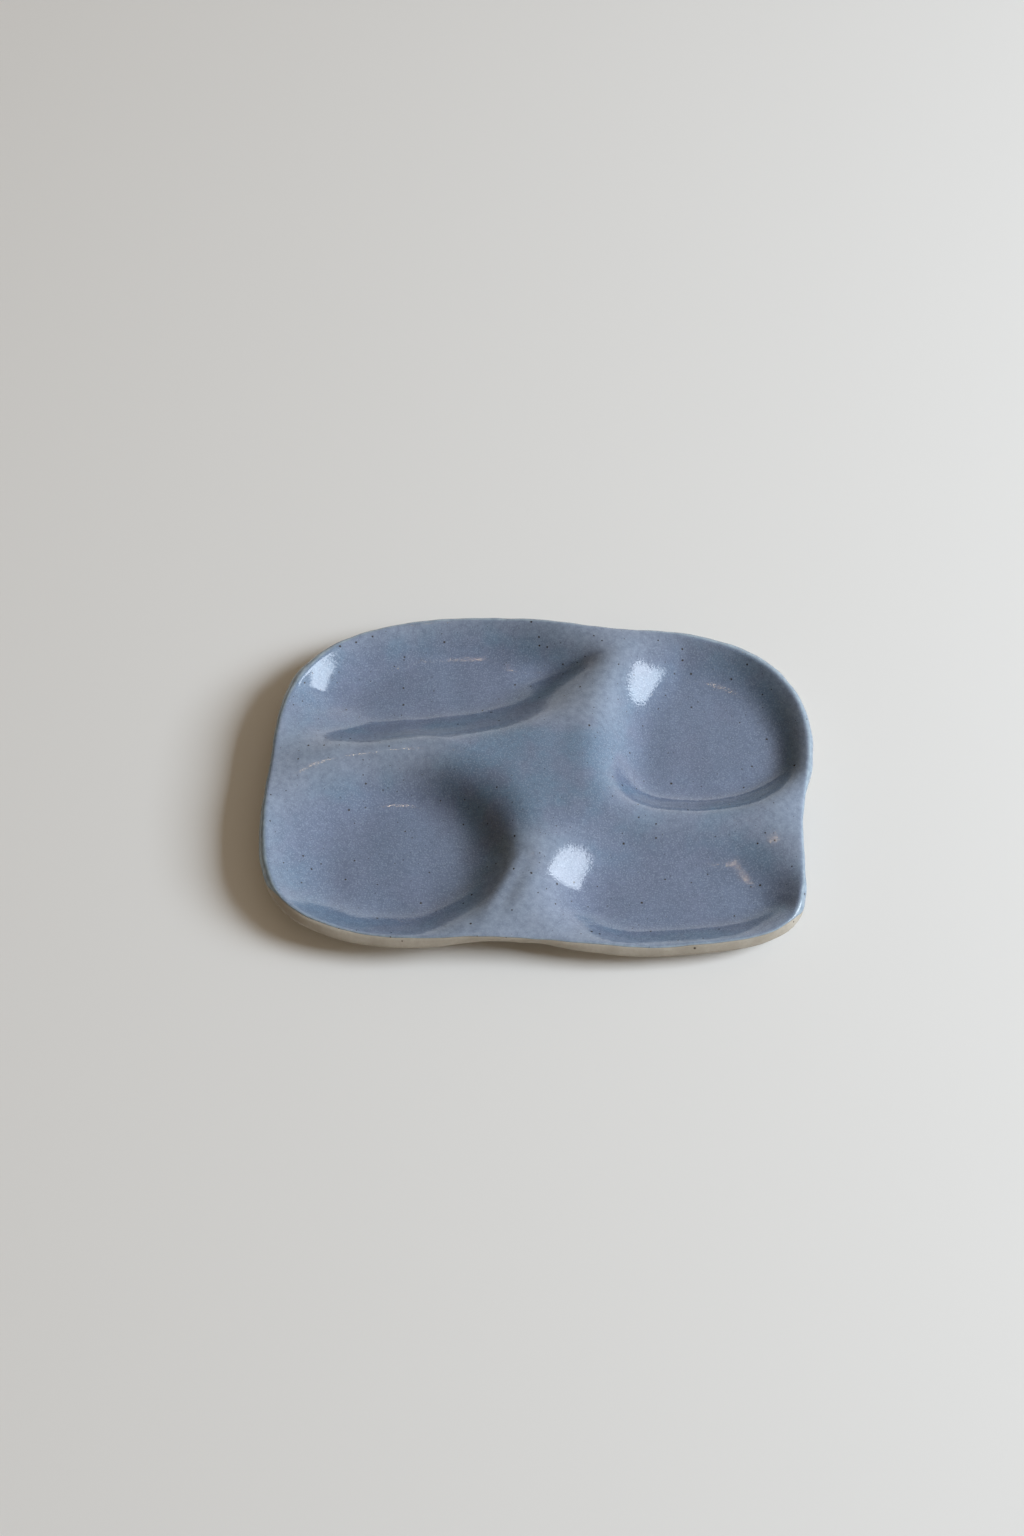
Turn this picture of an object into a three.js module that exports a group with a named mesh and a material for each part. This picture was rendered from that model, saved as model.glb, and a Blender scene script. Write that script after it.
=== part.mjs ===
// A snack plate: one slumped slab of stoneware with four wells, glazed on its upper face.
// Millimetres, +Z up. It stands on z = 0, with the middle of its outline at the origin.
import * as THREE from 'three';

// The plate
const plateLength = 212.5;    // left to right, along the top of the edge
const plateDepth = 150.5;     // front to back, along the top of the edge
const rimHeight = 18.3;       // clay's upper face where the rim is highest
const hubHeight = 18.5;       // clay's upper face where the four ridges meet

// The slab and its glaze
const clayThickness = 5;      // the rolled slab, measured square to its face
const glazeThickness = 0.4;   // the fired coat on the upper face
const footSanding = 0.6;      // clay rubbed off under each well, so that the plate stands flat

// The rounded cut edge
const lipReach = 2.2;         // how far the edge stands out past the end of the flat sheet
const lipPower = 3;           // 2 is a half round, more is squarer
const glazeStop = 22;         // degrees round the edge at which the glaze ends: 90 is its top, 0 its middle

// The rim as drawn, anticlockwise from the right: place of the edge, and height in hundredths of rimHeight.
// A closed cubic B-spline takes these as its control points, and the drawing is stretched to the plate's size.
const drawnRim = [
  { x: 102, y: -13, height: 64 },
  { x: 110, y: 15, height: 60 },
  { x: 106, y: 45, height: 69 },
  { x: 85, y: 65, height: 71 },
  { x: 56, y: 72, height: 74 },
  { x: 28, y: 71, height: 100 },
  { x: 0, y: 78, height: 77 },
  { x: -28, y: 80, height: 64 },
  { x: -57, y: 78.5, height: 62 },
  { x: -84, y: 66, height: 73 },
  { x: -100, y: 42, height: 89 },
  { x: -103, y: 11, height: 94 },
  { x: -105, y: -14, height: 89 },
  { x: -103, y: -48, height: 73 },
  { x: -83, y: -64, height: 74 },
  { x: -52, y: -70, height: 66 },
  { x: -24, y: -69, height: 91 },
  { x: 3, y: -69, height: 77 },
  { x: 35, y: -72, height: 57 },
  { x: 56, y: -71, height: 56 },
  { x: 97, y: -66, height: 55 },
  { x: 103, y: -44, height: 53 },
];

// The wells in the same drawing. Each has its middle, the turn of its axes in degrees, and how far its flat
// floor and its mouth reach from the middle. Each corner has its squareness: 2 is an oval's, more a box's.
const wells = [
  { // back left
    x: -38, y: 51, turn: 8.5,
    floor: { right: 29, back: 2, left: 20, front: 3 },
    mouth: { right: 86, back: 42, left: 104, front: 46.5 },
    corner: { backRight: 2.15, backLeft: 2.4, frontLeft: 4.6, frontRight: 2.5 },
  },
  { // back right
    x: 57.5, y: 17.5, turn: -7,
    floor: { right: 32, back: 22.5, left: 5, front: 9.5 },
    mouth: { right: 57, back: 76.5, left: 45.5, front: 47.5 },
    corner: { backRight: 2.35, backLeft: 2.6, frontLeft: 3, frontRight: 2.4 },
  },
  { // front left
    x: -51.5, y: -32.5, turn: 3.5,
    floor: { right: 12.5, back: 20, left: 10.5, front: 10 },
    mouth: { right: 62, back: 54.5, left: 82, front: 54 },
    corner: { backRight: 2.25, backLeft: 2.7, frontLeft: 2.3, frontRight: 1.8 },
  },
  { // front right
    x: 51, y: -49, turn: 2,
    floor: { right: 22, back: 5, left: 17.5, front: 3 },
    mouth: { right: 74, back: 54.5, left: 64, front: 32 },
    corner: { backRight: 3.5, backLeft: 3.2, frontLeft: 3.3, frontRight: 2.7 },
  },
];

// Facets
const stepsRound = 64;        // round the plate
const stepsOut = 18;          // from the middle to the rim
const glazedLipSteps = 4;     // round the edge, under the glaze
const bareLipSteps = 5;       // round the edge, below the glaze

const floorHeight = clayThickness - footSanding;

// Value at t, 0 to 1 once round, of a closed cubic B-spline with these control values.
function onLoop(values, t) {
  const count = values.length;
  const place = (t - Math.floor(t)) * count;
  const start = Math.floor(place);
  const f = place - start;
  const weights = [
    (1 - f) ** 3 / 6,
    (3 * f ** 3 - 6 * f ** 2 + 4) / 6,
    (-3 * f ** 3 + 3 * f ** 2 + 3 * f + 1) / 6,
    f ** 3 / 6,
  ];
  return weights.reduce((sum, weight, k) => sum + weight * values[(start + k - 1 + count) % count], 0);
}

const turns = Array.from({ length: stepsRound }, (_, i) => i / stepsRound);

// How much the drawing is stretched along one axis so that its outline has this size.
function stretchTo(size, values) {
  const drawn = turns.map((t) => onLoop(values, t));
  return size / (Math.max(...drawn) - Math.min(...drawn));
}

const drawnX = drawnRim.map((point) => point.x);
const drawnY = drawnRim.map((point) => point.y);
const stretchX = stretchTo(plateLength, drawnX);
const stretchY = stretchTo(plateDepth, drawnY);
const rimX = drawnX.map((x) => x * stretchX);
const rimY = drawnY.map((y) => y * stretchY);
const rimZ = drawnRim.map((point) => rimHeight * point.height / 100);

// End of the sheet at t: the rim set in by the lip, with the rim's height.
function sheetEnd(t) {
  const nudge = 0.1 / drawnRim.length;
  const along = new THREE.Vector2(
    onLoop(rimX, t + nudge) - onLoop(rimX, t - nudge),
    onLoop(rimY, t + nudge) - onLoop(rimY, t - nudge),
  ).normalize();
  return new THREE.Vector3(
    onLoop(rimX, t) - lipReach * along.y,
    onLoop(rimY, t) + lipReach * along.x,
    onLoop(rimZ, t),
  );
}

// Smooth rise from 0 to 1 with long level ends: the ninth-power smooth step.
function rise(t) {
  const s = THREE.MathUtils.clamp(t, 0, 1);
  return s ** 5 * (126 - 420 * s + 540 * s ** 2 - 315 * s ** 3 + 70 * s ** 4);
}

// How far a rounded box with its own reach on each side and its own corners extends along a direction.
function reachAlong(direction, reach, corner) {
  const side = direction.x > 0 ? 'right' : 'left';
  const end = direction.y > 0 ? 'back' : 'front';
  const power = corner[end + (side === 'right' ? 'Right' : 'Left')];
  const across = Math.abs(direction.x) / reach[side];
  const deep = Math.abs(direction.y) / reach[end];
  return (across ** power + deep ** power) ** (-1 / power);
}

// 0 on a well's floor, 1 on a ridge or past every mouth, and the wall's rise between.
function wallShare(x, y) {
  return wells.reduce((share, well) => {
    const offset = new THREE.Vector2(x / stretchX - well.x, y / stretchY - well.y);
    offset.rotateAround(new THREE.Vector2(), -THREE.MathUtils.degToRad(well.turn));
    const distance = offset.length();
    offset.normalize();
    const inner = reachAlong(offset, well.floor, well.corner);
    const outer = reachAlong(offset, well.mouth, well.corner);
    return share * rise((distance - inner) / (outer - inner));
  }, 1);
}

// Clay's upper face: a ring for each step out, from the middle to the rim. The ridges run from the hub's
// height to the height at which the walls, cut off by the rim, end at the rim's own height.
function upperRings() {
  const ends = turns.map(sheetEnd);
  const crests = ends.map((end) => floorHeight + (end.z - floorHeight) / wallShare(end.x, end.y));
  return Array.from({ length: stepsOut + 1 }, (_, k) => ends.map((end, i) => {
    const v = k / stepsOut;
    const x = end.x * v;
    const y = end.y * v;
    const crest = hubHeight + (crests[i] - hubHeight) * v ** 3;
    return new THREE.Vector3(x, y, floorHeight + (crest - floorHeight) * wallShare(x, y));
  }));
}

// Directions square to the upper face at each of its points.
function facings(rings) {
  const square = rings.map((ring, k) => ring.map((_, i) => {
    const before = ring[(i + stepsRound - 1) % stepsRound];
    const after = ring[(i + 1) % stepsRound];
    const inside = rings[Math.max(k - 1, 0)][i];
    const outside = rings[Math.min(k + 1, stepsOut)][i];
    const round = new THREE.Vector3().subVectors(after, before);
    return new THREE.Vector3().subVectors(outside, inside).cross(round).normalize();
  }));
  const middle = square[1].reduce((sum, n) => sum.add(n), new THREE.Vector3()).normalize();
  square[0] = square[0].map(() => middle.clone());
  return square;
}

// Power of a number that keeps its sign.
function signedPower(value, power) {
  return Math.sign(value) * Math.abs(value) ** power;
}

// One ring of the rounded edge, at an angle from 90 (top of the sheet) to -90 (its underside), with the
// directions square to it. Its section is a half superellipse across the slab's thickness.
function lipRing(angle, ends, square) {
  const a = THREE.MathUtils.degToRad(angle);
  const halfSlab = clayThickness / 2;
  const out = lipReach * signedPower(Math.cos(a), 2 / lipPower);
  const up = halfSlab * signedPower(Math.sin(a), 2 / lipPower);
  const outFacing = signedPower(out / lipReach, lipPower - 1) / lipReach;
  const upFacing = signedPower(up / halfSlab, lipPower - 1) / halfSlab;
  const points = [];
  const directions = [];
  ends.forEach((end, i) => {
    const before = ends[(i + stepsRound - 1) % stepsRound];
    const after = ends[(i + 1) % stepsRound];
    const outward = new THREE.Vector3().subVectors(after, before).cross(square[i]).normalize();
    const point = end.clone().addScaledVector(square[i], up - halfSlab).addScaledVector(outward, out);
    const direction = outward.multiplyScalar(outFacing).addScaledVector(square[i], upFacing);
    points.push(point);
    directions.push(direction.normalize());
  });
  return { points, directions };
}

// Closed skin over a stack of rings whose first and last are single points. Each four-sided facet is
// split on its shorter diagonal, so two skins over the same points share the same triangles.
function skin(rings) {
  const points = rings.flat();
  const starts = [];
  rings.reduce((count, ring) => {
    starts.push(count);
    return count + ring.length;
  }, 0);
  const triangles = [];
  for (let k = 0; k + 1 < rings.length; k++) {
    for (let i = 0; i < stepsRound; i++) {
      const next = (i + 1) % stepsRound;
      const a = starts[k] + (rings[k].length > 1 ? i : 0);
      const b = starts[k] + (rings[k].length > 1 ? next : 0);
      const c = starts[k + 1] + (rings[k + 1].length > 1 ? next : 0);
      const d = starts[k + 1] + (rings[k + 1].length > 1 ? i : 0);
      const onAC = points[a].distanceTo(points[c]) < points[b].distanceTo(points[d]);
      const pair = onAC ? [[a, d, c], [a, c, b]] : [[a, d, b], [b, d, c]];
      triangles.push(...pair.filter(([p, q, r]) => p !== q && q !== r && r !== p));
    }
  }
  const geometry = new THREE.BufferGeometry().setFromPoints(points);
  geometry.setIndex(triangles.flat());
  geometry.computeVertexNormals();
  return geometry;
}

const upper = upperRings();
const square = facings(upper);
const ends = upper[stepsOut];
const endSquare = square[stepsOut];
const glazedAngles = Array.from({ length: glazedLipSteps }, (_, k) =>
  THREE.MathUtils.lerp(90, glazeStop, (k + 1) / glazedLipSteps));
const bareAngles = Array.from({ length: bareLipSteps }, (_, k) =>
  THREE.MathUtils.lerp(glazeStop, -90, (k + 1) / bareLipSteps));
const glazedLip = glazedAngles.map((angle) => lipRing(angle, ends, endSquare));
const bareLip = bareAngles.map((angle) => lipRing(angle, ends, endSquare));

// The clay: upper face, edge, then the underside one slab below the upper face, sanded level at z = 0.
function clayBody() {
  const under = upper.slice(0, stepsOut).map((ring, k) => ring.map((point, i) => {
    const below = point.clone().addScaledVector(square[k][i], -clayThickness);
    return below.setZ(Math.max(0, below.z));
  }));
  return skin([
    [upper[0][0]],
    ...upper.slice(1),
    ...glazedLip.map((ring) => ring.points),
    ...bareLip.map((ring) => ring.points),
    ...under.slice(1).reverse(),
    [under[0][0]],
  ]);
}

// The glaze: a coat of even thickness on the upper face and over the top of the edge.
function glazeCoat() {
  const bed = [...upper, ...glazedLip.map((ring) => ring.points)];
  const directions = [...square, ...glazedLip.map((ring) => ring.directions)];
  const face = bed.map((ring, k) => ring.map((point, i) =>
    point.clone().addScaledVector(directions[k][i], glazeThickness)));
  return skin([
    [face[0][0]],
    ...face.slice(1),
    ...bed.slice(1).reverse(),
    [bed[0][0]],
  ]);
}

const clayMaterial = new THREE.MeshStandardMaterial({ color: 0xb3a997, roughness: 0.9, metalness: 0 });
const glazeMaterial = new THREE.MeshStandardMaterial({ color: 0x6b7790, roughness: 0.12, metalness: 0 });

const plate = new THREE.Group();
const stoneware = new THREE.Mesh(clayBody(), clayMaterial);
stoneware.name = 'stoneware_body';
const glaze = new THREE.Mesh(glazeCoat(), glazeMaterial);
glaze.name = 'glaze_coat';
plate.add(stoneware, glaze);

// The middle of the outline goes to the origin.
const middle = new THREE.Box3().setFromObject(plate).getCenter(new THREE.Vector3());
plate.children.forEach((piece) => piece.geometry.translate(-middle.x, -middle.y, 0));

export default plate;
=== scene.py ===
import math

import bpy
import numpy as np
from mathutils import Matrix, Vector


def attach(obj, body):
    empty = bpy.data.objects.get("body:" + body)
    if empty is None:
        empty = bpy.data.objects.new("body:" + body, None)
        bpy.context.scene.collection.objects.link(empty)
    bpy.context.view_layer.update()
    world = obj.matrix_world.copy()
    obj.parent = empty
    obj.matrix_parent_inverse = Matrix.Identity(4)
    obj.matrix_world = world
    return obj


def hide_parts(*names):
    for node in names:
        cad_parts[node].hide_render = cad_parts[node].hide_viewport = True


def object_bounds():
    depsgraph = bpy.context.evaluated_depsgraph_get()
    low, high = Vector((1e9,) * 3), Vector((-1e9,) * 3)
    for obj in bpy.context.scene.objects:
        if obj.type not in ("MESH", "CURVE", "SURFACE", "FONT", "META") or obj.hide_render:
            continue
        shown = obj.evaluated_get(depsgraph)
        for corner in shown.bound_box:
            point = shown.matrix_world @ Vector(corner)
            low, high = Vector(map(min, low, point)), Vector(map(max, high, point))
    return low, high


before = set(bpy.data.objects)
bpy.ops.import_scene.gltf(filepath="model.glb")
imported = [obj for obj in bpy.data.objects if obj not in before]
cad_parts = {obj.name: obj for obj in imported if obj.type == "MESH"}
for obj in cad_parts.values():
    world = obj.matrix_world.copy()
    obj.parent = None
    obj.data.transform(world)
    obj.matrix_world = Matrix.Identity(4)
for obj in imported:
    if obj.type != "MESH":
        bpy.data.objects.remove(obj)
cadLow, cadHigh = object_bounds()
millimetre = 0.001
print("frame loaded:", sorted(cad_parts))


# Linear colour of an sRGB triple in 0..255: the standard's power curve, without its short straight foot.
def paint(red, green, blue):
    return tuple(((c / 255 + 0.055) / 1.055) ** 2.4 for c in (red, green, blue)) + (1.0,)


# The slab of clay, in millimetres, drawn about a point near its middle.
slab = {
    # control points of the rim, anticlockwise from the right: x, y, height of the clay's upper face
    "rim": (
        (102, -13, 11.7), (110, 15, 11.0), (106, 45, 12.6), (85, 65, 13.0),
        (56, 72, 13.5), (28, 71, 18.3), (0, 78, 14.1), (-28, 80, 11.7), (-57, 78.5, 11.4),      # back
        (-84, 66, 13.3), (-100, 42, 16.2), (-103, 11, 17.2), (-105, -14, 16.3), (-103, -48, 13.4),
        (-83, -64, 13.6), (-52, -70, 12.1), (-24, -69, 16.6), (3, -69, 14.1),      # front
        (35, -72, 10.5), (56, -71, 10.2), (97, -66, 10.1), (103, -44, 9.7),
    ),
    "hubHeight": 18.5,       # where the four ridges meet
    "thickness": 5.0,
    "footSanding": 0.6,      # rubbed off under each well
    "lipReach": 2.2,         # how far the rounded edge stands out past the flat sheet
    "lipPower": 3.0,         # 2 is a half round, more is squarer
    "handWaves": 26,         # slow waves left by the hand in the soft clay
    "handWaveLength": (13.0, 34.0),
    "handWaveHeight": 0.10,
    "handSeed": 7,
    "edgeWaves": (9, 14, 23, 37, 58),     # to one turn round the cut edge
    "edgeWaveShare": 0.06,   # of the lip's reach
    "edgeWaveLean": 2.0,     # most that a wave shifts on its way across the edge, in radians to a radian
    "edgeSeed": 5,
    "stepsRound": 480,
    "stepsOut": 128,
    "edgeSteps": 30,
}

# Each well: its middle, the turn of its axes in degrees, how far its flat floor and its mouth reach to the
# right, back, left and front, and the squareness of its back right, back left, front left and front right
# corner.
wells = {
    "backLeft": {
        "middle": (-38, 51), "turn": 8.5,
        "floor": (29, 2, 20, 3), "mouth": (86, 42, 104, 46.5), "corner": (2.15, 2.4, 4.6, 2.5),
    },
    "backRight": {
        "middle": (57.5, 17.5), "turn": -7,
        "floor": (32, 22.5, 5, 9.5), "mouth": (57, 76.5, 45.5, 47.5), "corner": (2.35, 2.6, 3.0, 2.4),
    },
    "frontLeft": {
        "middle": (-51.5, -32.5), "turn": 3.5,
        "floor": (12.5, 20, 10.5, 10), "mouth": (62, 54.5, 82, 54), "corner": (2.25, 2.7, 2.3, 1.8),
    },
    "frontRight": {
        "middle": (51, -49), "turn": 2,
        "floor": (22, 5, 17.5, 3), "mouth": (74, 54.5, 64, 32), "corner": (3.5, 3.2, 3.3, 2.7),
    },
}

# Lines along which the walls were smoothed by hand, each followed with the ridge or the rim on its left.
# Within a few millimetres of its line, the width, the wall is brought to a stated slope.
pressLines = {
    "backLeft": {
        "points": ((18, 59), (10, 50), (0, 40.6), (-10, 33.6), (-20, 30), (-40, 27.6), (-60, 26),
                   (-72, 24.6), (-81, 22.6), (-88, 21)),
        "slope": 0.66, "width": 3.4,
    },
    "backRight": {
        "points": ((103, 9), (94, 1.5), (85, -3.3), (72, -6), (60, -7.6), (47.5, -7.3), (38, -5),
                   (31.5, -1)),
        "slope": 0.80, "width": 6.0,
    },
    "frontLeft": {
        "points": ((-9, -32), (-10.5, -37.5), (-13, -43), (-19, -49.5), (-26, -56), (-35, -60),
                   (-47, -61.5), (-61, -61), (-77, -57), (-88, -51)),
        "slope": 0.68, "width": 4.0,
    },
    "frontLeftCrest": {
        "points": ((-3, -30), (-5, -36), (-8, -42), (-11, -48), (-14, -54), (-17, -60), (-20, -66)),
        "slope": 0.05, "width": 3.0,
    },
    "frontRight": {
        "points": ((98, -50), (92, -54.5), (85, -57.5), (77, -59.5), (68, -61), (58, -62), (40, -63.5),
                   (22, -65)),
        "slope": 0.62, "width": 4.0,
    },
    "frontLeftShade": {
        "points": ((-41, 4), (-31, -2.5), (-22, -11), (-16.5, -19), (-12, -29), (-10, -36)),
        "slope": 0.92, "width": 4.5,
    },
}
pressFade = 0.16         # share of a line's length over which it dies away at each end
pressSteps = 121         # places worked out along a line


# Closed cubic B-spline over rows of control values, at turns t from 0 to 1: each value is the weighted sum
# of four neighbouring rows, with the uniform cubic basis as weights.
def onLoop(rows, t):
    rows = np.asarray(rows, float)
    place = (t % 1) * len(rows)
    start = np.floor(place).astype(int)
    f = (place - start)[:, None]
    weights = ((1 - f) ** 3, 3 * f ** 3 - 6 * f ** 2 + 4, -3 * f ** 3 + 3 * f ** 2 + 3 * f + 1, f ** 3)
    return sum(w / 6 * rows[(start + k - 1) % len(rows)] for k, w in enumerate(weights))


# Open curve along rows of control values, at t from 0 to 1: the same spline, with its end rows repeated.
def onPath(rows, t):
    rows = np.asarray(rows, float)
    padded = np.concatenate([rows[:1], rows[:1], rows, rows[-1:], rows[-1:]])
    lastStep = 0.999         # just short of the step that would lead back to the start
    return onLoop(padded, (1.0 + t * (len(rows) + lastStep)) / len(padded))


# Rise from 0 to 1 with level, unbent ends, steepest in a narrow middle: the ninth-power smooth step.
def rise(t):
    t = np.clip(t, 0, 1)
    return t ** 5 * (126 - 420 * t + 540 * t ** 2 - 315 * t ** 3 + 70 * t ** 4)


# Vectors brought to length one: each divided by its length.
def unit(vectors):
    return vectors / np.linalg.norm(vectors, axis=-1, keepdims=True)


# Plan directions turned a quarter to the left: (x, y) becomes (-y, x).
def leftOf(along):
    return np.stack([-along[:, 1], along[:, 0]], 1)


# Steps round the plate: at each ray, the place on the next ray less the place on the one before.
def goingRound(places):
    return np.roll(places, -1, 0) - np.roll(places, 1, 0)


# Distance from a well's middle to a rounded box along a direction (c, s): the superellipse whose half axes
# are the reaches on the side that the direction points to.
def reachAlong(c, s, reach, power):
    right, back, left, front = reach
    across = np.abs(c) / np.where(c > 0, right, left)
    deep = np.abs(s) / np.where(s > 0, back, front)
    return (across ** power + deep ** power) ** (-1 / power)


# 0 on a well's floor, 1 on a ridge: the product over the wells of the rise between floor and mouth, measured
# along the ray from the well's middle.
def wallShare(x, y):
    share = np.ones_like(x)
    for well in wells.values():
        dx, dy = x - well["middle"][0], y - well["middle"][1]
        distance = np.hypot(dx, dy) + 1e-9       # never nought, so that it can divide
        turn = math.radians(well["turn"])
        c = (dx * math.cos(turn) + dy * math.sin(turn)) / distance
        s = (dy * math.cos(turn) - dx * math.sin(turn)) / distance
        backRight, backLeft, frontLeft, frontRight = well["corner"]
        atBack, atFront = np.where(c > 0, backRight, backLeft), np.where(c > 0, frontRight, frontLeft)
        power = np.where(s > 0, atBack, atFront)
        inner = reachAlong(c, s, well["floor"], power)
        outer = reachAlong(c, s, well["mouth"], power)
        share = share * rise((distance - inner) / (outer - inner))
    return share


# Slow hand-made unevenness at (x, y): a sum of plane waves with drawn directions, lengths and phases, the
# longer ones higher.
def handWaver(x, y):
    draw = np.random.default_rng(slab["handSeed"])
    count, longest = slab["handWaves"], slab["handWaveLength"][1]
    lengths = draw.uniform(*slab["handWaveLength"], count)
    angles = draw.uniform(0, 2 * np.pi, count)
    phases = draw.uniform(0, 2 * np.pi, count)
    heights = slab["handWaveHeight"] * lengths / longest / math.sqrt(count / 4)   # as uneven as four waves
    total = np.zeros_like(x)
    for length, angle, phase, height in zip(lengths, angles, phases, heights):
        total += height * np.sin(2 * np.pi / length * (x * np.cos(angle) + y * np.sin(angle)) + phase)
    return total


# Ends of the flat sheet round the plate, as rows x, y, height: the rim set in by the lip along its plan
# normal.
def sheetEnds():
    rim = onLoop(slab["rim"], np.arange(slab["stepsRound"]) / slab["stepsRound"])
    rim[:, :2] += slab["lipReach"] * unit(leftOf(goingRound(rim)))
    return rim


ends = sheetEnds()
floorHeight = slab["thickness"] - slab["footSanding"]


# Value in the direction of an angle, of values given at the ends of the sheet: straight lines between them.
def atRim(values, angle):
    return np.interp(angle, np.arctan2(ends[:, 1], ends[:, 0]), values, period=2 * np.pi)


# Height of the clay's upper face at (x, y): floor + (crest - floor) * wallShare, where the crest goes with
# the cube of the share of the way to the rim from the hub's height to the one that meets the rim's.
def heightAt(x, y):
    hub, angle = slab["hubHeight"], np.arctan2(y, x)
    crestAtRim = floorHeight + (ends[:, 2] - floorHeight) / wallShare(ends[:, 0], ends[:, 1])
    out = np.hypot(x, y) / atRim(np.hypot(ends[:, 0], ends[:, 1]), angle)
    crest = hub + (atRim(crestAtRim, angle) - hub) * out ** 3
    return floorHeight + (crest - floorHeight) * wallShare(x, y)


# What a line adds at (x, y): distance across the line times the difference to its slope there, dying away as
# a bell curve across the line and smoothly at its two ends.
def pressed(x, y, line):
    path = onPath(line["points"], np.linspace(0, 1, pressSteps))
    steps = np.gradient(path, axis=0)
    ridgeward = leftOf(unit(steps))
    above, below = path + ridgeward, path - ridgeward        # a millimetre to each side
    slope = (heightAt(above[:, 0], above[:, 1]) - heightAt(below[:, 0], below[:, 1])) / 2
    travelled = np.cumsum(np.linalg.norm(steps, axis=1))
    share = travelled / travelled[-1]
    lacking = (line["slope"] - slope) * rise(share / pressFade) * rise((1 - share) / pressFade)
    places = np.stack([x.ravel(), y.ravel()], 1)
    nearest = np.argmin(((places[:, None] - path) ** 2).sum(2), axis=1)
    across = ((places - path[nearest]) * ridgeward[nearest]).sum(1)
    bell = np.exp(-(across / line["width"]) ** 2 / 2)
    return (lacking[nearest] * across * bell).reshape(x.shape)


# Upper face of the clay as (round, out, xyz), and its share of wall: heights on rays from the middle to the
# ends of the sheet.
def upperFace():
    v = np.linspace(0, 1, slab["stepsOut"] + 1)
    x, y = ends[:, 0, None] * v, ends[:, 1, None] * v
    z = heightAt(x, y) + sum(pressed(x, y, line) for line in pressLines.values()) + handWaver(x, y)
    return np.stack([x, y, z], 2), wallShare(x, y)


# Directions square to a (round, out, xyz) face: cross product of the steps out and round.
def facing(face):
    square = np.cross(np.gradient(face, axis=1), goingRound(face))
    square[:, 0] = square[:, 1].mean(0)
    return unit(square)


# Unevenness of the cut edge, about -1 to 1, at angles (round, step): a sum of waves round the plate, each
# leaning its own way across the edge.
def edgeWaver(angles):
    draw = np.random.default_rng(slab["edgeSeed"])
    turns = np.arange(len(angles))[:, None] / len(angles)
    waves, mostLean = slab["edgeWaves"], slab["edgeWaveLean"]
    leans = draw.uniform(-mostLean, mostLean, len(waves))
    phases = draw.uniform(0, 2 * np.pi, len(waves))
    total = sum(np.sin(2 * np.pi * wave * turns + lean * np.radians(angles) + phase)
                for wave, lean, phase in zip(waves, leans, phases))
    return total / math.sqrt(len(waves))


edgeTop = 90.0           # angle at the top of the edge; its middle is at 0 and its underside at -90


# Rounded edge at angles (round, step) from the sheet's top to its underside: a half superellipse across the
# slab's thickness, and the directions square to it.
def edgeRound(face, square, angles):
    end, up = face[:, -1], square[:, -1]
    outward = unit(np.cross(goingRound(end), up))
    power, half, reach = slab["lipPower"], slab["thickness"] / 2, slab["lipReach"]
    c, s = np.cos(np.radians(angles)), np.sin(np.radians(angles))
    out = np.abs(c) ** (2 / power) * (1 + slab["edgeWaveShare"] * edgeWaver(angles))
    height = np.sign(s) * np.abs(s) ** (2 / power)
    points = (end - up * half)[:, None] + outward[:, None] * (out * reach)[..., None]
    points = points + up[:, None] * (height * half)[..., None]
    across = outward[:, None] * (out ** (power - 1) / reach)[..., None]
    tall = up[:, None] * (np.sign(height) * np.abs(height) ** (power - 1) / half)[..., None]
    return points, unit(across + tall)


upper, upperShare = upperFace()
upperSquare = facing(upper)
edgeAngles = np.linspace(edgeTop, -edgeTop, slab["edgeSteps"] + 2)[1:-1]
edgeAngles = np.broadcast_to(edgeAngles, (slab["stepsRound"], slab["edgeSteps"]))
cutEdge = edgeRound(upper, upperSquare, edgeAngles)[0]
print("upper face and edge:", upper.shape, cutEdge.shape)


# Rings moved in plan from the drawing's point to the middle of the CAD outline: the middle of the CAD box
# less that of the cut edge is added.
def placed(rings):
    middle = (np.array(cadLow) + np.array(cadHigh)) / 2 / millimetre
    outline = cutEdge.reshape(-1, 3)
    offset = middle - (outline.min(0) + outline.max(0)) / 2
    return rings + offset * (1, 1, 0)


# Closed mesh over a stack of rings (round, ring, xyz) whose first and last ring are single points: quads
# between rings, fans at the two poles. Values per point go into named attributes.
def ringMesh(name, rings, values):
    count, inner = rings.shape[0], rings.shape[1] - 2

    # a grid's first pole, inner rings and last pole in one row
    def inRow(grid):
        between = grid[:, 1:-1].reshape(-1, *grid.shape[2:])
        return np.concatenate([grid[:1, 0], between, grid[:1, -1]])

    # place in that row of an inner ring's point on a ray
    def at(ray, ring):
        return 1 + (ray % count) * inner + ring

    points = inRow(rings) * millimetre
    ray, ring = np.meshgrid(np.arange(count), np.arange(inner - 1), indexing="ij")
    quads = np.stack([at(ray, ring), at(ray, ring + 1), at(ray + 1, ring + 1), at(ray + 1, ring)], 2)
    ray = np.arange(count)
    first = np.stack([np.zeros_like(ray), at(ray, 0), at(ray + 1, 0)], 1)
    last = np.stack([np.full_like(ray, len(points) - 1), at(ray + 1, inner - 1), at(ray, inner - 1)], 1)
    mesh = bpy.data.meshes.new(name)
    mesh.from_pydata(points.tolist(), [], quads.reshape(-1, 4).tolist() + first.tolist() + last.tolist())
    mesh.shade_smooth()
    for key, value in values.items():
        attribute = mesh.attributes.new(key, "FLOAT", "POINT")
        attribute.data.foreach_set("value", inRow(value).astype(np.float32))
    piece = bpy.data.objects.new(name, mesh)
    bpy.context.scene.collection.objects.link(piece)
    return piece


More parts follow.
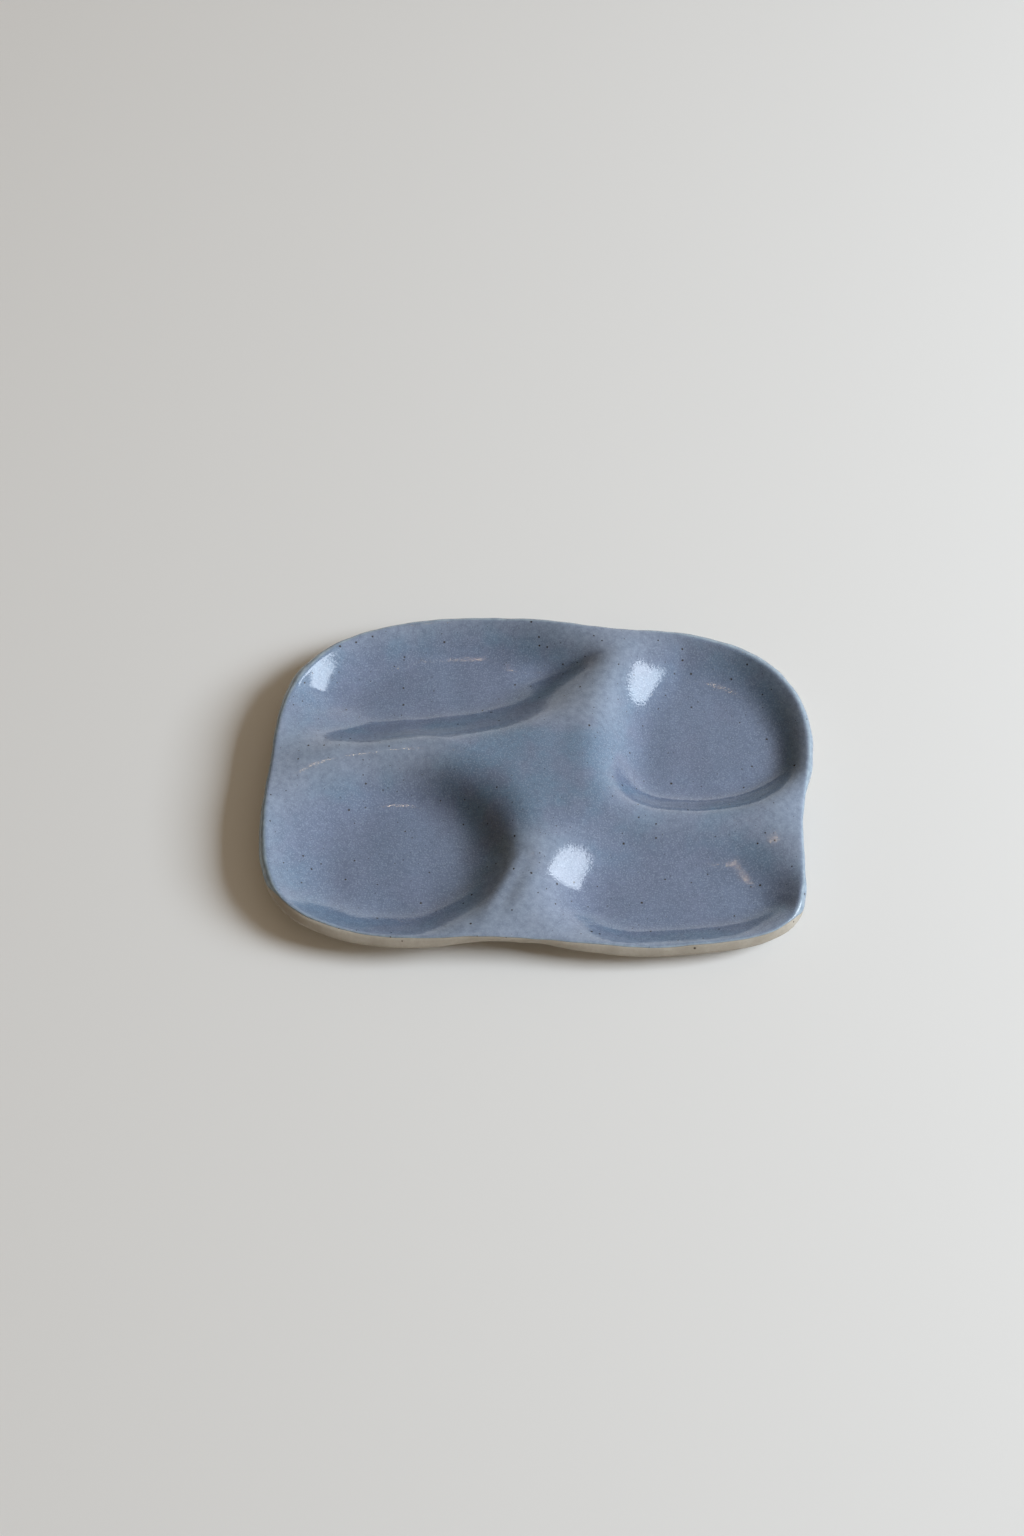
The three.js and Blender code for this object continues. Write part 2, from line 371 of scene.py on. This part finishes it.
# The fired glaze on the upper face, in millimetres and degrees.
glazeCoat = {
    "thickness": 0.4,
    "stopFront": 48.0,       # angle round the edge at which it ends
    "stopElsewhere": -25.0,
    "front": (0.1, 0.9),     # how far the outline runs to the right where the front sets in and is full
    "stopWaver": 7.0,
    "stopWaves": (3, 5, 9, 14, 23),       # to one turn round the plate
    "stopSeed": 11,
    "edgeSteps": 22,
    "bedEvery": 4,           # the unseen bed needs only every fourth ring
    "beadShare": 0.55,       # share of the glazed edge over which the coat rounds off to nothing
    "thickHub": 0.625,       # share of the way out over which the ridges' thin glaze sets in
}


# Angle round the edge at which the glaze ends, on each ray: a rise from the stop elsewhere to the stop at
# the front, plus waves round the plate.
def glazeEnds():
    draw = np.random.default_rng(glazeCoat["stopSeed"])
    turns = np.arange(slab["stepsRound"]) / slab["stepsRound"]
    waver = sum(np.sin(2 * np.pi * (wave * turns + draw.uniform())) / math.sqrt(wave)
                for wave in glazeCoat["stopWaves"]) / 2       # within -1 to 1
    rightward = unit(goingRound(ends[:, :2]))[:, 0]
    start, full = glazeCoat["front"]
    toFront = rise((rightward - start) / (full - start))
    stopRise = glazeCoat["stopFront"] - glazeCoat["stopElsewhere"]
    return glazeCoat["stopElsewhere"] + stopRise * toFront + glazeCoat["stopWaver"] * waver


glazeStop = glazeEnds()[:, None]
edgeShare = np.linspace(0, 1, glazeCoat["edgeSteps"] + 1)[1:]
glazedEdge, glazedSquare = edgeRound(upper, upperSquare, edgeTop + (glazeStop - edgeTop) * edgeShare)
bead = np.clip((edgeShare - 1 + glazeCoat["beadShare"]) / glazeCoat["beadShare"], 0, 1)
coat = glazeCoat["thickness"] * np.sqrt(1 - bead ** 2)
glazedTop = upper + upperSquare * glazeCoat["thickness"]
glazeFace = np.concatenate([glazedTop, glazedEdge + glazedSquare * coat[:, None]], 1)
bed = np.concatenate([upper, glazedEdge], 1)[:, -2::-glazeCoat["bedEvery"]]
bed = np.concatenate([bed, upper[:, :1]], 1)

# What the glaze's colour goes by: thin on crests, over the edge, pooled on floors. The unseen bed has ones.
thinShare = upperShare * rise(np.linspace(0, 1 / glazeCoat["thickHub"], slab["stepsOut"] + 1))
onEdge = np.zeros_like(glazeStop * edgeShare)
onBed = np.ones(bed.shape[:2])
glazeValues = {
    "crest": np.concatenate([thinShare, onEdge + thinShare[:, -1:], onBed], 1),
    "edge": np.concatenate([np.zeros_like(upperShare), (1 - glazeStop / edgeTop) * edgeShare, onBed], 1),
    "pool": np.concatenate([1 - upperShare, onEdge, onBed], 1),
}
glazeSkin = ringMesh("glazeSkin", placed(np.concatenate([glazeFace, bed], 1)), glazeValues)
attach(glazeSkin, "root")
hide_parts("glaze_coat")
print("glaze:", len(glazeSkin.data.polygons), "faces")


# The bare clay: its hidden upper face, the cut edge and the underside, sanded level where it stands.
clayShell = {
    "upperEvery": 4,         # of the hidden face's rings, one in four is enough
    "underEvery": 2,
    "sandedEdge": 0.12,      # rounding of the flats' edges, in millimetres
    "sandedFade": 0.25,      # how far below and above the flats' level the sanded look sets in
}

underside = upper - upperSquare * slab["thickness"]
underHeight = underside[..., 2].copy()
underside[..., 2] = (underHeight + np.hypot(underHeight, clayShell["sandedEdge"])) / 2
underside = underside[:, ::-clayShell["underEvery"]]
clayRings = np.concatenate([upper[:, ::clayShell["upperEvery"]], cutEdge, underside], 1)
sanded = rise((clayShell["sandedFade"] - underHeight) / (2 * clayShell["sandedFade"]))
sanded = sanded[:, ::-clayShell["underEvery"]]
unsanded = np.zeros((slab["stepsRound"], clayRings.shape[1] - sanded.shape[1]))
clayValues = {"sanded": np.concatenate([unsanded, sanded], 1)}
stonewareShell = ringMesh("stonewareShell", placed(clayRings), clayValues)
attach(stonewareShell, "root")
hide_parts("stoneware_body")
print("clay:", len(stonewareShell.data.polygons), "faces")


def addNode(tree, kind, **settings):
    node = tree.nodes.new(kind)
    for key, value in settings.items():
        if key in node.inputs:
            node.inputs[key].default_value = value
        else:
            setattr(node, key, value)
    return node


# Feeds an input from a socket, or sets it to a fixed value.
def feed(tree, value, socket):
    if isinstance(value, bpy.types.NodeSocket):
        tree.links.new(value, socket)
    else:
        socket.default_value = value


# Result of a Math node on two values, each a socket or a number.
def reckon(tree, operation, first, second):
    node = addNode(tree, "ShaderNodeMath", operation=operation)
    feed(tree, first, node.inputs[0])
    feed(tree, second, node.inputs[1])
    return node.outputs["Value"]


# Stretches a value between two limits to another two.
def mapRange(tree, value, low, high, toLow=0.0, toHigh=1.0, smooth=True):
    node = addNode(tree, "ShaderNodeMapRange", interpolation_type="SMOOTHSTEP" if smooth else "LINEAR")
    for key, number in (("From Min", low), ("From Max", high), ("To Min", toLow), ("To Max", toHigh)):
        node.inputs[key].default_value = number
    tree.links.new(value, node.inputs["Value"])
    return node.outputs["Result"]


# Mixes two colours by a factor, each a socket or fixed.
def mixColour(tree, factor, first, second):
    node = addNode(tree, "ShaderNodeMix", data_type="RGBA", clamp_factor=True)
    for number, value in ((0, factor), (6, first), (7, second)):      # the node's sockets for colours
        feed(tree, value, node.inputs[number])
    return node.outputs[2]


# Node group with float inputs and one float output, and its two ends.
def newGroup(name, inputs, output):
    group = bpy.data.node_groups.new(name, "ShaderNodeTree")
    for key in inputs:
        group.interface.new_socket(key, in_out="INPUT", socket_type="NodeSocketFloat")
    group.interface.new_socket(output, in_out="OUTPUT", socket_type="NodeSocketFloat")
    return group, addNode(group, "NodeGroupInput"), addNode(group, "NodeGroupOutput")


# The form of an iron speck.
speckForm = {
    "raggedPerMetre": 1900.0,
    "raggedShift": 0.00035,  # how far a noise pushes its edge about, in metres
    "spread": 1.4,           # 1 draws all sizes as often, more draws small ones more often
    "outside": 1.25,         # it fades between these two shares of its radius
    "inside": 0.6,
}


# Iron specks: round dots of drawn size about the points of a 3D Voronoi field, as a mask.
def makeIronSpecks():
    group, given, result = newGroup("ironSpecks", ("Per Metre", "Radius"), "Mask")
    link = group.links.new
    place = addNode(group, "ShaderNodeTexCoord").outputs["Object"]
    ragged = addNode(group, "ShaderNodeTexNoise", Scale=speckForm["raggedPerMetre"], Detail=1.0)
    shift = addNode(group, "ShaderNodeVectorMath", operation="MULTIPLY_ADD")
    shift.inputs[1].default_value = (speckForm["raggedShift"],) * 3
    field = addNode(group, "ShaderNodeTexVoronoi", feature="F1")
    drawn = addNode(group, "ShaderNodeSeparateColor")
    link(place, ragged.inputs["Vector"])
    link(ragged.outputs["Color"], shift.inputs[0])
    link(place, shift.inputs[2])
    link(shift.outputs["Vector"], field.inputs["Vector"])
    link(given.outputs["Per Metre"], field.inputs["Scale"])
    link(field.outputs["Color"], drawn.inputs["Color"])
    size = reckon(group, "POWER", drawn.outputs["Red"], speckForm["spread"])
    radius = reckon(group, "MULTIPLY", size, given.outputs["Radius"])
    radius = reckon(group, "MULTIPLY", radius, given.outputs["Per Metre"])       # in the field's own unit
    away = reckon(group, "DIVIDE", field.outputs["Distance"], radius)
    link(mapRange(group, away, speckForm["outside"], speckForm["inside"]), result.inputs["Mask"])
    return group


finerShare = 0.55        # height of a grain's finer layer, as a share of the coarser one's


# Fine grain: noise with a stated number of waves to a metre, as a value about 0.5.
def makeFineGrain():
    group, given, result = newGroup("fineGrain", ("Per Metre", "Detail"), "Value")
    link = group.links.new
    place = addNode(group, "ShaderNodeTexCoord").outputs["Object"]
    noise = addNode(group, "ShaderNodeTexNoise", Roughness=finerShare)
    link(place, noise.inputs["Vector"])
    link(given.outputs["Per Metre"], noise.inputs["Scale"])
    link(given.outputs["Detail"], noise.inputs["Detail"])
    link(noise.outputs["Fac"], result.inputs["Value"])
    return group


ironSpecks, fineGrain = makeIronSpecks(), makeFineGrain()


# Output of a group placed with its own values, in the order of its inputs.
def useGroup(tree, group, values):
    node = addNode(tree, "ShaderNodeGroup", node_tree=group)
    for socket, value in zip(node.inputs, values):
        socket.default_value = value
    return node.outputs[0]


def newMaterial(name):
    material = bpy.data.materials.new(name)
    material.use_nodes = True
    tree = material.node_tree
    return material, tree, tree.nodes["Principled BSDF"]


# What a look goes by, under its names: its noises, its spots and its piece's attributes.
def driversOf(tree, look):
    drivers = {name: useGroup(tree, fineGrain, values) for name, values in look["noises"].items()}
    for name, values in look["spots"].items():
        drivers[name] = useGroup(tree, ironSpecks, values)
    for name in look["attributes"]:
        drivers[name] = addNode(tree, "ShaderNodeAttribute", attribute_name=name).outputs["Fac"]
    return drivers


# Base colour of a look: its ground, and each layer's colour mixed over what is below it.
def layColours(tree, shader, look, drivers):
    colour = look["ground"]
    for name, start, full, share, soft, over in look["layers"]:
        amount = mapRange(tree, drivers[name], start, full, 0.0, share, soft)
        colour = mixColour(tree, amount, colour, look[over])
    tree.links.new(colour, shader.inputs["Base Color"])


# Relief of a look: bumps of stated heights in metres, each on the one before.
def layBumps(tree, shader, look, drivers):
    target = shader.inputs["Normal"]
    for name, height in reversed(look["bumps"]):
        bump = addNode(tree, "ShaderNodeBump", Strength=1.0, Distance=height)
        tree.links.new(drivers[name], bump.inputs["Height"])
        tree.links.new(bump.outputs["Normal"], target)
        target = bump.inputs["Normal"]


# The glaze. A noise has its waves to a metre and its finer layers, spots their number to a metre and their
# largest radius in metres. A layer has what it goes by, the values of that at which it starts and is full,
# its full share, whether it sets in softly, and its colour.
glazeLook = {
    "ground": paint(99, 122, 145),        # blue
    "mauve": paint(106, 118, 141),
    "pooled": paint(107, 117, 141),
    "thinGrey": paint(142, 153, 170),
    "edgePale": paint(150, 166, 177),
    "mottleDark": paint(81, 94, 116),
    "grainPale": paint(146, 160, 178),
    "iron": paint(38, 32, 30),
    "noises": {"drift": (55.0, 2.0), "mottle": (420.0, 2.0), "grain": (1700.0, 1.0),
               "ripple": (900.0, 1.0), "shiver": (2400.0, 1.0)},
    "spots": {"dust": (480.0, 0.00026), "specks": (310.0, 0.00050)},
    "attributes": ("crest", "edge", "pool"),
    "layers": (
        ("drift", 0.40, 0.62, 1.00, True, "mauve"),
        ("pool", 0.60, 1.00, 0.75, True, "pooled"),        # where it lies thick, on the wells' floors
        ("crest", 0.20, 1.00, 0.80, True, "thinGrey"),     # where it runs thin, on ridges
        ("edge", 0.22, 0.46, 1.00, True, "edgePale"),      # breaking over the rim
        ("mottle", 0.30, 0.70, 0.46, False, "mottleDark"),
        ("grain", 0.48, 0.72, 0.40, True, "grainPale"),
        ("dust", 0.00, 1.00, 0.55, False, "iron"),
        ("specks", 0.00, 1.00, 1.00, False, "iron"),
    ),
    "bumps": (("ripple", 0.000048), ("shiver", 0.000010)),        # orange peel, and a finer one on it
    "roughness": (0.09, 0.13),            # at the two values of the grain below
    "roughGrain": (0.3, 0.7),
    "ior": 1.5,
    "specular": 0.42,
}


def makeGlaze():
    material, tree, shader = newMaterial("blueGreyGlaze")
    drivers = driversOf(tree, glazeLook)
    layColours(tree, shader, glazeLook, drivers)
    layBumps(tree, shader, glazeLook, drivers)
    rough = mapRange(tree, drivers["grain"], *glazeLook["roughGrain"], *glazeLook["roughness"], False)
    tree.links.new(rough, shader.inputs["Roughness"])
    shader.inputs["IOR"].default_value = glazeLook["ior"]
    shader.inputs["Specular IOR Level"].default_value = glazeLook["specular"]
    return material


glazeSkin.data.materials.append(makeGlaze())

# The bare clay, written as the glaze is.
clayLook = {
    "ground": paint(174, 166, 153),       # oat
    "dark": paint(148, 139, 125),
    "rubbed": paint(196, 188, 174),
    "iron": paint(58, 46, 38),
    "noises": {"blotch": (90.0, 3.0), "grain": (900.0, 3.0)},
    "spots": {"specks": (260.0, 0.00052)},
    "attributes": ("sanded",),
    "layers": (
        ("blotch", 0.35, 0.75, 0.60, True, "dark"),
        ("grain", 0.35, 0.70, 0.35, False, "dark"),
        ("sanded", 0.00, 1.00, 1.00, False, "rubbed"),
        ("specks", 0.00, 1.00, 1.00, False, "iron"),
    ),
    "bumps": (("grain", 0.00006),),
    "roughness": 0.85,
}


def makeClay():
    material, tree, shader = newMaterial("bareStoneware")
    drivers = driversOf(tree, clayLook)
    layColours(tree, shader, clayLook, drivers)
    layBumps(tree, shader, clayLook, drivers)
    shader.inputs["Roughness"].default_value = clayLook["roughness"]
    return material


stonewareShell.data.materials.append(makeClay())
print("materials made")


# The pale table under the plate, in metres, a hair below the sanded flats.
table = {"half": 3.0, "height": -0.0001, "colour": paint(228, 226, 222), "roughness": 0.9}


def makeTable():
    half, height = table["half"], table["height"]
    corners = [(x * half, y * half, height) for x, y in ((-1, -1), (1, -1), (1, 1), (-1, 1))]
    mesh = bpy.data.meshes.new("table")
    mesh.from_pydata(corners, [], [(0, 1, 2, 3)])
    material, tree, shader = newMaterial("paleTable")
    shader.inputs["Base Color"].default_value = table["colour"]
    shader.inputs["Roughness"].default_value = table["roughness"]
    mesh.materials.append(material)
    return bpy.data.objects.new("table", mesh)


tableTop = makeTable()
bpy.context.scene.collection.objects.link(tableTop)

# Daylight: the window's light on the plate and the table, its image in the gloss, and a warm glint.
daylight = {
    "light": {"azimuth": -3.0, "elevation": 33.0, "width": 0.92, "height": 1.00, "power": 68.0},
    "image": {"azimuth": 2.0, "elevation": 31.0, "width": 0.88, "height": 1.00, "power": 33.0},
    "glint": {"azimuth": 120.0, "elevation": 82.0, "width": 0.20, "height": 0.012, "power": 0.9},
    "distance": 2.2,
    "colour": (0.79, 0.88, 0.985),
    "glintColour": (1.0, 0.72, 0.45),
}


# Direction from the middle at an azimuth from the right and an elevation, both in degrees.
def direction(azimuth, elevation):
    a, e = math.radians(azimuth), math.radians(elevation)
    return Vector((math.cos(e) * math.cos(a), math.cos(e) * math.sin(a), math.sin(e)))


# A rectangular lamp that faces the plate.
def addWindow(name, pane, colour):
    light = bpy.data.lights.new(name, "AREA")
    light.shape = "RECTANGLE"
    light.size, light.size_y = pane["width"], pane["height"]
    light.energy, light.color = pane["power"], colour
    lamp = bpy.data.objects.new(name, light)
    lamp.location = direction(pane["azimuth"], pane["elevation"]) * daylight["distance"]
    lamp.rotation_euler = (-lamp.location).to_track_quat("-Z", "Y").to_euler()
    bpy.context.scene.collection.objects.link(lamp)
    return lamp


addWindow("windowLight", daylight["light"], daylight["colour"]).visible_glossy = False
addWindow("windowImage", daylight["image"], daylight["colour"]).visible_diffuse = False
addWindow("glint", daylight["glint"], daylight["glintColour"]).visible_diffuse = False

# The surroundings, which are dim and warm, pale in the gloss and plain behind the plate.
surroundings = {
    # light that fills the shadows, from the left, from above and from the right
    "fill": ((0.25, (0.175, 0.132, 0.085)), (0.6, (0.24, 0.185, 0.125)), (0.9, (0.32, 0.27, 0.21))),
    "fillAzimuth": 4.0,
    "fillElevation": 38.0,
    # what the gloss shows, by height: dim near the table, then bright, fading upwards
    "gloss": (0.96, 0.98, 1.0),
    "glossRise": ((0.0, 0.12), (0.075, 0.12), (0.09, 2.3), (0.8, 1.34)),
    "glossRight": (0.25, 0.45, 0.0, 1.6),      # least level on the right: from, to, and the two levels
    "glossLeft": (-0.7, 0.1, 0.03, 1.0),       # share that stays on the left: from, to, and the two shares
    "backdrop": (0.80, 0.80, 0.79),
}


# Colour by a value from 0 to 1: straight lines between stops of place and colour.
def byStops(tree, value, stops):
    node = addNode(tree, "ShaderNodeValToRGB")
    elements = node.color_ramp.elements
    places, colours = zip(*stops)
    elements.remove(elements[1])
    elements[0].position = places[0]
    for place in places[1:]:
        elements.new(place)
    for element, colour in zip(elements, colours):
        element.color = colour + (1.0,)
    tree.links.new(value, node.inputs["Fac"])
    return node.outputs["Color"]


# Light from all round, of a colour and strength that are each a socket or fixed.
def lightRound(tree, colour, strength=1.0):
    node = addNode(tree, "ShaderNodeBackground")
    feed(tree, colour, node.inputs["Color"])
    feed(tree, strength, node.inputs["Strength"])
    return node.outputs["Background"]


# One light for a kind of ray, and another for the rest.
def forRays(tree, kind, rest, these):
    node = addNode(tree, "ShaderNodeMixShader")
    for socket, value in zip(node.inputs, (kind, rest, these)):
        tree.links.new(value, socket)
    return node.outputs["Shader"]


def makeSurroundings():
    world = bpy.data.worlds.new("surroundings")
    world.use_nodes = True
    tree = world.node_tree
    tree.nodes.clear()
    link = tree.links.new
    ray = addNode(tree, "ShaderNodeTexCoord").outputs["Generated"]
    axes = addNode(tree, "ShaderNodeSeparateXYZ")
    link(ray, axes.inputs[0])
    fillFrom = direction(surroundings["fillAzimuth"], surroundings["fillElevation"])
    facingFill = addNode(tree, "ShaderNodeVectorMath", operation="DOT_PRODUCT")
    facingFill.inputs[1].default_value = fillFrom
    link(ray, facingFill.inputs[0])
    toRight = mapRange(tree, facingFill.outputs["Value"], -1.0, 1.0, 0.0, 1.0, False)
    fill = lightRound(tree, byStops(tree, toRight, surroundings["fill"]))
    greys = [(place, (level,) * 3) for place, level in surroundings["glossRise"]]
    glossRise = byStops(tree, axes.outputs["Z"], greys)
    glossRight = mapRange(tree, axes.outputs["X"], *surroundings["glossRight"])
    glossLeft = mapRange(tree, axes.outputs["X"], *surroundings["glossLeft"], False)
    glossLevel = reckon(tree, "MULTIPLY", glossLeft, reckon(tree, "MAXIMUM", glossRise, glossRight))
    gloss = lightRound(tree, surroundings["gloss"] + (1.0,), glossLevel)
    seen = lightRound(tree, surroundings["backdrop"] + (1.0,))
    rays = addNode(tree, "ShaderNodeLightPath").outputs
    lit = forRays(tree, rays["Is Glossy Ray"], fill, gloss)
    behind = forRays(tree, rays["Is Camera Ray"], lit, seen)
    link(behind, addNode(tree, "ShaderNodeOutputWorld").inputs["Surface"])
    return world


bpy.context.scene.world = makeSurroundings()

# The camera, at the photograph's angle and framing.
camera = {
    "azimuth": -90.0, "elevation": 58.0, "distance": 0.832,
    "lens": 50.0, "sensor": 36.0,         # millimetres
    "target": (-0.00213, -0.00299, 0.010),
    "shiftPixels": (-23, 17),
    "longSidePixels": 1536,
}

lens = bpy.data.cameras.new("camera")
lens.lens, lens.sensor_width = camera["lens"], camera["sensor"]
lens.shift_x, lens.shift_y = (pixels / camera["longSidePixels"] for pixels in camera["shiftPixels"])
cameraObject = bpy.data.objects.new("camera", lens)
towardsCamera = direction(camera["azimuth"], camera["elevation"])
cameraObject.location = Vector(camera["target"]) + towardsCamera * camera["distance"]
tilt, turn = math.radians(90 - camera["elevation"]), math.radians(90 + camera["azimuth"])
cameraObject.rotation_euler = (tilt, 0, turn)
bpy.context.scene.collection.objects.link(cameraObject)
bpy.context.scene.camera = cameraObject
bpy.context.scene.view_settings.view_transform = "Standard"
print("stage, light and camera set")

bpy.context.view_layer.update()
